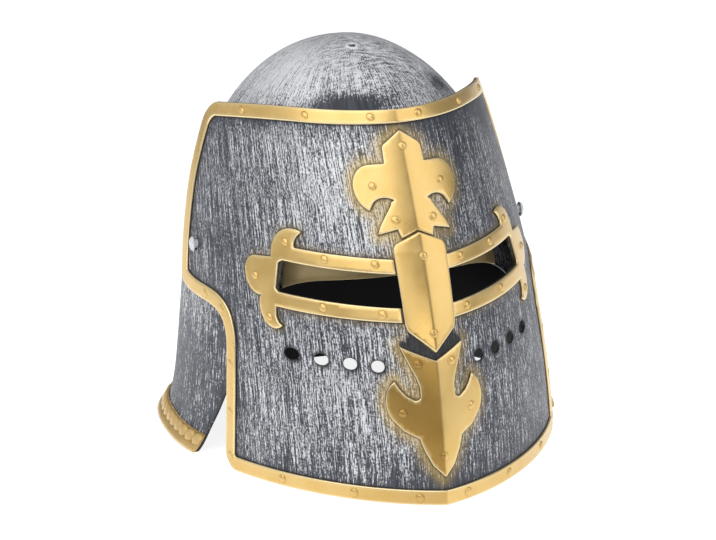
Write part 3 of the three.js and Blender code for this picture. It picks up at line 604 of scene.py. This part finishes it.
# ---------------------------------------------------------------- pivot studs
# Two snap studs of pale grey nylon, moulded: a low domed head outside the visor, a shank through
# both walls and a flange behind the skull. The visor swings on them.
# Pale nylon is waxy and half glossy, and handling leaves it scuffed with small greyer spots.
pale, tree, out = new_material("nylon_moulded_pale_grey")
place = add(tree, "ShaderNodeTexCoord", take="Object")
scuff = add(tree, "ShaderNodeTexNoise", {"Vector": place, "Scale": 650.0, "Detail": 3.0}, take="Fac")
worn, waxy = (
    add(tree, "ShaderNodeMapRange", {"Value": scuff, "From Min": 0.3, "From Max": high, "To Min": least,
                                     "To Max": most}, take="Result", interpolation_type="SMOOTHSTEP")
    for high, least, most in ((0.55, 0.0, 1.0), (0.7, 0.28, 0.42)))
tone = add(tree, "ShaderNodeMix", {"Factor": worn, "A": "#a9acb1", "B": "#d6d8dc"}, take="Result", data_type="RGBA")
finish = add(tree, "ShaderNodeBsdfPrincipled", {"Base Color": tone, "Roughness": waxy, "Metallic": 0.1}, take="BSDF")
tree.links.new(finish, out.inputs["Surface"])
STUD_PROFILE = np.array([     # (out from the helmet's middle, radius)
    (106.98, 0.0), (106.95, 0.9), (106.82, 1.8), (106.55, 2.7), (106.15, 3.5), (105.65, 4.1), (105.15, 4.45),
    (104.75, 4.6), (104.5, 4.55), (104.4, 4.4), (104.4, 2.7), (91.0, 2.7), (91.0, 4.4), (90.8, 4.6), (89.8, 4.6),
    (89.6, 4.3), (89.6, 0.0)])
reach, radius = STUD_PROFILE[1:-1, :1], STUD_PROFILE[1:-1, 1:]
for name, side in (("left", 1), ("right", -1)):
    # Turned on a lathe: each profile point goes round the pivot axis, the other way on the right.
    spin = side * np.linspace(0, 2 * math.pi, 48, endpoint=False)
    y, z = STUD["y"] + radius * np.cos(spin), STUD["z"] + radius * np.sin(spin)
    turned = np.stack([side * reach + 0 * spin, y, z], -1)
    piece("pivot_stud_" + name + "_turned", turned.reshape(-1, 3), carried(turned), "helmet", "pivot_stud_" + name,
          pale, sharp=40)

# ---------------------------------------------------------------- visor shell
# One moulding with a 1.6 mm wall, bent round a keel like a ship's bow, with a sight slot and four
# breath holes on each side. Same dark plastic and silver strokes, fogged with gold at the cross.
VISOR_HEIGHT = 216.0


def half_width(z):
    """The visor's greatest half width by height: 121.5 - 0.059 * z - 0.000374 * z ** 2."""
    return 121.5 - 0.059 * z - 0.000374 * z ** 2


def flank(t, z):
    """The visor's left half at turn t from the keel and height z: the point, the unit normal, the
    run per unit of turn and the rake. Each level is half an ellipse swept back by the rake: x is
    width * sin(t) and y is keel + depth * (1 - cos(t)) + rake * sin(t). The normal is the cross
    product of the slopes by t and by z."""
    width, depth = half_width(z), 168.1 + 0.04 * z
    rake, keel = 45.7 - 0.1445 * z, 0.011 * z + 0.001583 * z ** 2
    s, c = np.sin(t), np.cos(t)
    point = np.stack([width * s, keel + depth * (1 - c) + rake * s, z + 0 * t], -1)
    along = np.stack([width * c, depth * s + rake * c, 0 * t], -1)
    rising = np.stack([(-0.059 - 0.000748 * z) * s, 0.011 + 0.003166 * z + 0.04 * (1 - c) - 0.1445 * s, 1 + 0 * t], -1)
    normal = np.cross(along, rising)
    return point, normal / np.linalg.norm(normal, axis=-1, keepdims=True), np.linalg.norm(along, axis=-1), rake


def run_to(t, z):
    """The length round from the keel to turn t: the sum over 16 equal steps of the run per turn."""
    steps = (np.arange(16) + 0.5) / 16
    return flank(t[..., None] * steps, np.broadcast_to(z[..., None], t.shape + (16,)))[2].mean(-1) * t


def turn_at(s, z):
    """The turn whose length round from the keel is s: a first guess of one radian for 140 mm, then
    four of Newton's steps."""
    t = s / 140
    for _ in range(4):
        t = t + (s - run_to(t, z)) / flank(t, z)[2]
    return t


KEEL_SOFT = 0.006      # rounds the keel over about 1 mm


def visor_at(flat, h, drill=None):
    """A point (s, z) of the layout on the visor, h outside its outer face: s is the length round
    from the keel and z the height. Near the keel the offset is mitred, and the keel itself is
    rounded by taking sqrt(sin(t)**2 + soft**2) for sin(t) in the rake. Where drill is 1 the offset
    goes straight back instead, as a bore does."""
    s, z = np.abs(flat[:, 0]), flat[:, 1]
    t = turn_at(s, z)
    point, normal, _, rake = flank(t, z)
    mitre = normal * [0, 1, 1] / (normal[:, 1:] ** 2).sum(1)[:, None]
    away = np.clip(s / 14, 0, 1)[:, None]
    away = away * away * (3 - 2 * away)
    offset = mitre * (1 - away) + normal * away
    if drill is not None:
        straight = np.stack([0 * s, 1 / normal[:, 1], 0 * s], -1)
        offset = offset * (1 - drill[:, None]) + straight * drill[:, None]
    point[:, 1] += rake * (np.sqrt(np.sin(t) ** 2 + KEEL_SOFT ** 2) - np.sin(t))
    point = point + offset * np.reshape(h, (-1, 1))
    point[:, 0] *= np.where(flat[:, 0] < 0, -1, 1)
    return point


REAR_EDGE = flowing([(57.8, 0), (57.8, 35), (57.8, 65), (58.1, 81), (59.3, 88.5), (61, 92.4), (63.3, 94.7),
                     (66.2, 95.9), (70, 96.7), (73.8, 97.9), (76.6, 100), (78.2, 103.6), (78.6, 110), (78.2, 131),
                     (75.5, 163), (70, 194), (64.5, 216)])
FOOT_CORNER, TOP_CORNER, TOP_DROP = 12.0, 13.0, 5.0


def edge_turn(z):
    """The rear edge's turn at height z, drawn in at both ends by a quarter circle."""
    def drawn(radius, left):
        past = np.clip(1 - left / radius, 0, 1)
        return radius * (1 - np.sqrt(1 - past ** 2))
    cut = drawn(FOOT_CORNER, z) + drawn(TOP_CORNER, VISOR_HEIGHT - TOP_DROP - z)
    return np.radians(np.interp(z, REAR_EDGE[:, 1], REAR_EDGE[:, 0])) - cut / flank(1 + 0 * z, z)[2]


def both(half):
    """A half outline that starts and ends on the keel, closed by its mirror image."""
    return np.concatenate([half, half[1:-1][::-1] * [-1, 1]])


def visor_outline():
    """Along the foot, up the rear edge and back along the top, which falls 5 mm to its corners."""
    quarter = np.linspace(0, math.pi / 2, 16)
    rear_z = np.unique(np.concatenate([
        FOOT_CORNER * (1 - np.cos(quarter)), np.arange(12, 93, 1.5), np.arange(93, 103, 0.25), np.arange(103, 198, 1.5),
        VISOR_HEIGHT - TOP_DROP - TOP_CORNER * (1 - np.cos(quarter))]))
    foot_s = np.linspace(0, 1, 90)[:-1] * run_to(edge_turn(np.zeros(1)), np.zeros(1))
    foot_line = np.stack([foot_s, 0 * foot_s], 1)
    rear = np.stack([run_to(edge_turn(rear_z), rear_z), rear_z], 1)
    u = np.linspace(1, 0, 90)[1:]
    top_z = VISOR_HEIGHT - TOP_DROP * np.maximum(0, (u - 0.5) / 0.5) ** 2
    top = np.stack([run_to(u * edge_turn(top_z), top_z), top_z], 1)
    return both(np.concatenate([foot_line, rear, top]))


def rounded(corners, radius, steps=6):
    """A polygon whose corners are cut by curves that start a radius away on both sides."""
    p = np.asarray(corners, float)
    before, after = np.roll(p, 1, 0) - p, np.roll(p, -1, 0) - p
    before /= np.linalg.norm(before, axis=1)[:, None]
    after /= np.linalg.norm(after, axis=1)[:, None]
    t = np.linspace(0, 1, steps)[None, :, None]
    a, b, c = (p + before * radius)[:, None], p[:, None], (p + after * radius)[:, None]
    return (a * (1 - t) ** 2 + 2 * b * t * (1 - t) + c * t ** 2).reshape(-1, 2)


def mirrored(loop):
    """The loop on the visor's other side, still turning the same way."""
    return loop[::-1] * [-1, 1]


def arc(cs, cz, rs, rz, start, end):
    """Points every 4 degrees on an elliptic arc, without its first point."""
    n = max(2, int(abs(end - start) / 4))
    turn_by = np.radians(np.linspace(start, end, n + 1)[1:])
    return [(cs + rs * math.cos(a), cz + rz * math.sin(a)) for a in turn_by]


def staggered(lowest, highest, pitch):
    """A field of points in staggered rows, pitch apart."""
    rows = np.arange(lowest[1], highest[1], pitch * 0.87)
    columns = np.arange(lowest[0] - pitch, highest[0] + pitch, pitch)
    grid = np.stack(np.meshgrid(columns, rows), -1)
    grid[1::2, :, 0] += pitch / 2
    return grid.reshape(-1, 2)


def keel_rows(low, high, step):
    """Rows of points close beside the keel, where the surface turns sharply."""
    z = np.arange(low, high, step)
    return np.concatenate([np.stack([0 * z + s, z + 0.5 * step * (i % 2)], 1)
                           for i, s in enumerate((-3.6, -2.3, -1.4, -0.7, 0, 0.7, 1.4, 2.3, 3.6))])


VISOR_RIM = visor_outline()
SIGHT = rounded([(10, 110.9), (99, 113.8), (91, 131.5), (10, 129.2)], 1.6)
BREATH_RADIUS = 3.5
breaths = []
for x, z in ((29.9, 78.6), (43.3, 78.9), (56.8, 79.4), (70.0, 79.8)):     # bored from straight in front
    hole_x, hole_z = x + BREATH_RADIUS * np.cos(circle), z + BREATH_RADIUS * np.sin(circle)
    hole_t = np.arcsin(hole_x / half_width(hole_z))
    breaths.append(np.stack([run_to(hole_t, hole_z), hole_z], 1))
stud_turn = np.radians(75.0) + 0 * circle
for _ in range(8):
    point, _, speed, _ = flank(stud_turn, stud_z)
    stud_turn = stud_turn + (stud_y - point[:, 1]) / speed
visor_stud_hole = np.stack([run_to(stud_turn, stud_z), stud_z], 1)

# Outlines of the gold trims, as (length round from the keel, height).
CROSS_UPPER = both(np.array([(0, 205), (11.6, 197), (12.2, 187.7), (19, 187.4)]
                            + arc(19.8, 174.6, 13.2, 12.8, 82, -66) + arc(15.4, 163.2, 8.6, 6.6, 32, 128)
                            + arc(14.6, 166.8, 2.3, 2.3, 165, 215)
                            + [(17.6, 158.8), (20.6, 154.6), (22.6, 150.3), (10.9, 153), (9.3, 148.2), (0, 152.4)]))
CROSS_LOWER = both(np.array([(0, 82.4), (19.5, 90.2), (15.8, 81.4), (12, 73.2), (10.4, 68)]
                            + arc(13.4, 63.4, 2.9, 2.9, 170, 285) + [(18.4, 62.9), (21.8, 66.4), (24.7, 71)]
                            + arc(20.2, 58.6, 10.8, 13.4, 54, -46)
                            + [(21.6, 42.9), (13, 38.9), (10.8, 32), (6.6, 23.5), (0, 16.7)]))
NASAL = both(np.array([(0, 151), (13.2, 145), (15, 142.4), (15, 140), (14.2, 102), (13, 98.4), (0, 86.6)]))
EYE_FRAME = np.array([(15.8, 137.2), (80.2, 139.6)] + arc(66.5, 139.2, 14, 10.4, 5, 62)
                     + arc(80.2, 131.6, 19.8, 18.3, 111, 3) + arc(113.5, 120.7, 11.6, 10.9, 95, -96)
                     + arc(103.3, 104.2, 10.9, 11.6, 30, -128) + arc(88.4, 101, 12.4, 9.6, -34, 12)
                     + [(100.3, 105.2), (15.8, 103.2), (15.8, 111.1), (97.2, 113.7), (99, 115.4), (94.6, 130),
                        (91, 131.5), (15.8, 129.4)])
EYE_FRAME_FULL = np.concatenate([EYE_FRAME[:-6], [(10, 103.2), (10, 137.2)]])


def band_inset(outline, width):
    """The outline moved inwards over the visor by a true width: the step is laid out along the
    surface, then turned into (s, z) by the surface's own slopes. Points that fall closer to the
    outline than the width, as at tight corners, are dropped."""
    step = 0.05
    point = visor_at(outline, 0)
    across = (visor_at(outline + [step, 0], 0) - visor_at(outline - [step, 0], 0)) / (2 * step)
    rising = (visor_at(outline + [0, step], 0) - visor_at(outline - [0, step], 0)) / (2 * step)
    run = np.roll(point, -1, 0) - np.roll(point, 1, 0)
    inward = np.cross(np.cross(across, rising), run)
    inward *= width / np.linalg.norm(inward, axis=1)[:, None]
    g11, g12, g22 = (across ** 2).sum(1), (across * rising).sum(1), (rising ** 2).sum(1)
    b1, b2 = (inward * across).sum(1), (inward * rising).sum(1)
    det = g11 * g22 - g12 ** 2
    moved = outline + np.stack([(b1 * g22 - b2 * g12) / det, (b2 * g11 - b1 * g12) / det], 1)
    moved_points = visor_at(moved, 0)
    away = np.concatenate([np.sqrt(((part[:, None] - point) ** 2).sum(2)).min(1)
                           for part in np.array_split(moved_points, 20)])
    return moved[away > 0.9 * width]


BORDER_WIDTH = 9.0
BORDER_IN = band_inset(VISOR_RIM, BORDER_WIDTH)

# Extra points lie along each trim's outline, so that overspray and painted shade follow it closely.
slots = [SIGHT, mirrored(SIGHT)]
holes = slots + breaths + [mirrored(b) for b in breaths] + [visor_stud_hole, mirrored(visor_stud_hole)]
shell_loops = [spread(VISOR_RIM, 2.0)] + [spread(hole, 2.0) for hole in holes]
marks = [CROSS_UPPER, CROSS_LOWER, NASAL, EYE_FRAME_FULL, mirrored(EYE_FRAME_FULL)]
guides = np.concatenate([beside(spread(mark, 1.6), side * d) for mark in marks for d in (0.1, 0.9, 1.8, 3.2)
                         for side in (1, -1)]
                        + [beside(spread(BORDER_IN, 2.2), side * d) for d in (0.1, 1.0, 2.2) for side in (1, -1)]
                        + [keel_rows(1, 215, 2.2)])
flat, faces = net(shell_loops, staggered((-185, 0), (185, 216), 3.0), extra=guides)
hole_away = clearance(flat, breaths + [mirrored(b) for b in breaths])
drill = np.exp(-(hole_away / 2.5) ** 2)
outer, inner = visor_at(flat, 0), visor_at(flat, -WALL, drill)
foot_row = np.abs(flat[:, 1]) < 1e-3
inner[foot_row, 2] = 0
points = np.concatenate([outer, inner])
in_cross = inside(flat, [CROSS_UPPER]) | inside(flat, [CROSS_LOWER]) | inside(flat, [NASAL])
cross_away = np.where(in_cross, 0, clearance(flat, [CROSS_UPPER, CROSS_LOWER]))
frame_away = clearance(flat, [EYE_FRAME_FULL, mirrored(EYE_FRAME_FULL)])
in_frame = inside(flat, [EYE_FRAME_FULL, mirrored(EYE_FRAME_FULL)])
frame_away = np.where(in_frame, 0, frame_away)
nasal_away = np.where(in_cross, 0, clearance(flat, [NASAL]))
border_away = np.where(inside(flat, [BORDER_IN]), clearance(flat, [BORDER_IN]), 0)
slot_away = clearance(flat, slots)
rim_away = clearance(flat, [VISOR_RIM])
# Gold overspray fades out from the cross, the nasal and the frames, and isn't in the recess
# between nasal and lower arm. Painted shade lies round each trim's foot and each breath hole's rim,
# and fills that recess as its painted shadow.
halo = np.where(flat[:, 0] < 0, 0.62, 0.42) * np.exp(-(cross_away / 5.2) ** 2) + 0.25 * np.exp(-(nasal_away / 4) ** 2)
halo += 0.22 * np.exp(-(frame_away / 2.5) ** 2)
recess = inside(flat, [np.array([(0, 82.4), (19.5, 90.2), (13, 99), (0, 86.6), (-13, 99), (-19.5, 90.2)])])
halo = np.clip(halo, 0, 1) * np.where(recess, 0.1, 1)
cut_edge = rim_away < 0.05
halo = np.maximum(halo, cut_edge)
nearest = np.minimum(np.minimum(cross_away, frame_away), np.minimum(nasal_away, border_away))
shade = 0.85 * np.exp(-(nearest / 0.9) ** 2)
shade = np.maximum(shade, 0.93 * recess)
shade = np.maximum(shade, 0.95 * np.exp(-(hole_away / 0.7) ** 2))
# The silver covers best high up and low down on the wearer's right, and high up there it is partly a
# painted highlight where the key light falls. It is thinner at the foot and near the borders and
# frames. Over the wearer's left, high up and most of all along its rear edge, the lower cover is
# painted shade of the flank turned from the light, over somewhat thinner silver.
cover_and_shading = 0.42 + 0.28 * blob(flat, (-42, 190), (38, 45)) + 0.12 * blob(flat, (-40, 60), (60, 40))
cover_and_shading += 0.1 * blob(flat, (-60, 160), (50, 25)) - 0.2 * blob(flat, (-150, 140), (35, 45))
cover_and_shading -= 0.9 * np.exp(-(border_away / 13) ** 2) * (flat[:, 0] > 90) * np.clip((flat[:, 1] - 95) / 20, 0, 1)
cover_and_shading -= 0.15 * blob(flat, (40, 200), (35, 30))
cover_and_shading -= 0.35 * blob(flat, (-8, 18), (25, 12)) + 0.14 * np.clip(flat[:, 0] / 30, 0, 1)
cover_and_shading -= 0.35 * np.exp(-border_away / 5) + 0.2 * np.exp(-frame_away / 3)
empty = np.zeros(len(flat))
# Shade is painted shade round trims, breath holes and the recess; the inner face is painted near black as shade.
tags = {name: np.concatenate(pair) for name, pair in (
    ("cover_and_shading", (cover_and_shading, cover_and_shading)), ("halo", (halo, cut_edge * 1.0)), ("shade", (shade, empty)),
    ("inside", (empty, 1 - cut_edge)), ("crown", (empty, empty)))}
piece("visor_bowl", points, body_of_net(faces, len(flat)), "visor", "visor_shell", silvered,
      tags, np.concatenate([flat, flat]))

# ---------------------------------------------------------------- visor's gold trims
# Border, two cross arms, nasal and two sight frames. On the moulding they are flat raised bands
# with softened edges and small domed rivets, all sprayed gold.
RIVET_RADIUS, RIVET_RISE = 2.5, 1.1


def stretch(z):
    """How much longer the surface is than its height: sqrt(1 + slope ** 2), where the keel's slope
    is 0.011 + 0.003166 * z."""
    return np.sqrt(1 + (0.011 + 0.003166 * z) ** 2)


def rivet_rings(places):
    """Rings of points round each rivet, close together at its foot."""
    radii = np.array([0.01, 0.8, 1.4, 1.9, 2.2, 2.4, 2.5, 2.62, 2.9, 3.4])
    spin = np.linspace(0, 2 * math.pi, 20, endpoint=False)
    ring = np.stack([radii[:, None] * np.cos(spin), radii[:, None] * np.sin(spin)], -1).reshape(-1, 2)[19:]
    return np.concatenate([centre + ring / [1, stretch(centre[1])] for centre in places])


def rivet_away(flat, places):
    """Each point's distance from the middle of the nearest rivet."""
    off = (flat[:, None, :] - places) * np.stack([0 * places[:, 1] + 1, stretch(places[:, 1])], 1)
    return np.sqrt((off ** 2).sum(2)).min(1)


def trim(name, stands_for, loops, places, top=TRIM_TOP, soft=0.75, hollow=0.0, right_shade=0.0):
    """A raised band over the visor: its top is flat with edges rounded by a quarter circle of
    radius soft, a rivet adds the height of a flat dome, and a hollow one is cut out behind. The last
    argument is how much darker and browner the gold is painted on the wearer's right of the keel, as
    painted shade."""
    places = np.asarray(places, float)
    lowest, highest = loops[0].min(0), loops[0].max(0)
    loops = [spread(loop, 1.1) for loop in loops]
    field = staggered(lowest, highest, 1.9)
    field = field[(rivet_away(field, places) > 3.9) & (np.abs(field[:, 0]) > 4.4)]
    keel = keel_rows(lowest[1], highest[1], 1.3)
    keel = keel[rivet_away(keel, places) > 3.7]
    extra = np.concatenate([rivet_rings(places), keel])
    flat, faces = net(loops, field, (0.13 * soft, 0.5 * soft, soft), extra)
    away = clearance(flat, loops)
    near_rivet = rivet_away(flat, places)
    rounding = soft - np.sqrt(np.maximum(0, soft ** 2 - np.maximum(0, soft - away) ** 2))
    dome = RIVET_RISE * np.sqrt(np.clip(1 - (near_rivet / RIVET_RADIUS) ** 2, 0, 1))
    dome *= np.where(np.abs(flat[:, 0]) > 120, 0.4, 1)      # moulded shallower round the rear edges
    below = GAP + hollow * np.clip((away - WALL) / 0.6, 0, 1)
    points = np.concatenate([visor_at(flat, top - rounding + dome), visor_at(flat, below)])
    # Painted highlight: a pale line just inside the edge. Painted shade: a darker ring at each rivet's foot, on the
    # trim's wall and over its underside.
    edge = 0.75 * np.exp(-((away - 0.3) / 0.4) ** 2)             # a pale line just inside the edge
    painted_shade = 0.2 * np.exp(-((near_rivet - 2.65) / 0.25) ** 2)      # painted shade at the rivet's foot
    side_shade = np.where(away < 0.05, 0.1, 0)
    none = np.zeros(len(flat))
    # Painted shade: darker, browner gold on the wearer's right of the keel, below the sight frames.
    right_shade_mask = np.clip(0.5 - flat[:, 0] / 0.8, 0, 1) * np.exp(-(flat[:, 0] / 60) ** 2) * (flat[:, 1] < 140)
    tags = {"edge": np.concatenate([edge, none]), "painted_shade": np.concatenate([np.maximum(painted_shade, side_shade), none + 0.8]),
            "darker_brown": np.concatenate([right_shade * right_shade_mask, none])}
    piece(name, points, body_of_net(faces, len(flat)), "visor", stands_for, gilt, tags)


def both_sides(places):
    """Rivets on the visor's left, repeated on its right."""
    places = np.array(places, float)
    return np.concatenate([places, places[places[:, 0] > 0] * [-1, 1]])


# The border's rivets sit on the middle of the band, each at the point nearest to its place.
CENTRE_LINE = band_inset(VISOR_RIM, 4.7)
wanted = np.array([(14.6, 212), (56.5, 212), (112, 209.3), (15, 5), (55.5, 5), (106, 5), (154, 8.5), (152, 36.5),
                   (151.5, 66), (155, 96), (173, 101)], float)
found = CENTRE_LINE[[np.argmin(((CENTRE_LINE - spot) ** 2).sum(1)) for spot in wanted]]
trim("visor_rim_band", "visor_border", [band_inset(VISOR_RIM, GAP), BORDER_IN], both_sides(found), right_shade=0.4)
trim("cross_arm_upper", "cross_upper", [CROSS_UPPER], both_sides([(0, 196.5), (21, 175.8), (11.2, 158)]))
trim("cross_arm_lower", "cross_lower", [CROSS_LOWER], both_sides([(10, 80.8), (21.3, 53.3), (0, 29)]), right_shade=0.8)
trim("nasal_bar", "nasal", [rounded(NASAL, 0.8, 4)], [(0, 138), (0, 97)], top=4.2, soft=1.1, hollow=2.2, right_shade=0.25)
frame_rivets = np.array([(86.3, 142), (58.6, 135.4), (26.9, 134.3), (115.5, 120.2), (64, 108.8), (26.5, 107.5),
                         (106.3, 98.6)], float)
trim("sight_frame_left", "eye_frame_left", [EYE_FRAME], frame_rivets)
trim("sight_frame_right", "eye_frame_right", [mirrored(EYE_FRAME)], frame_rivets * [-1, 1])
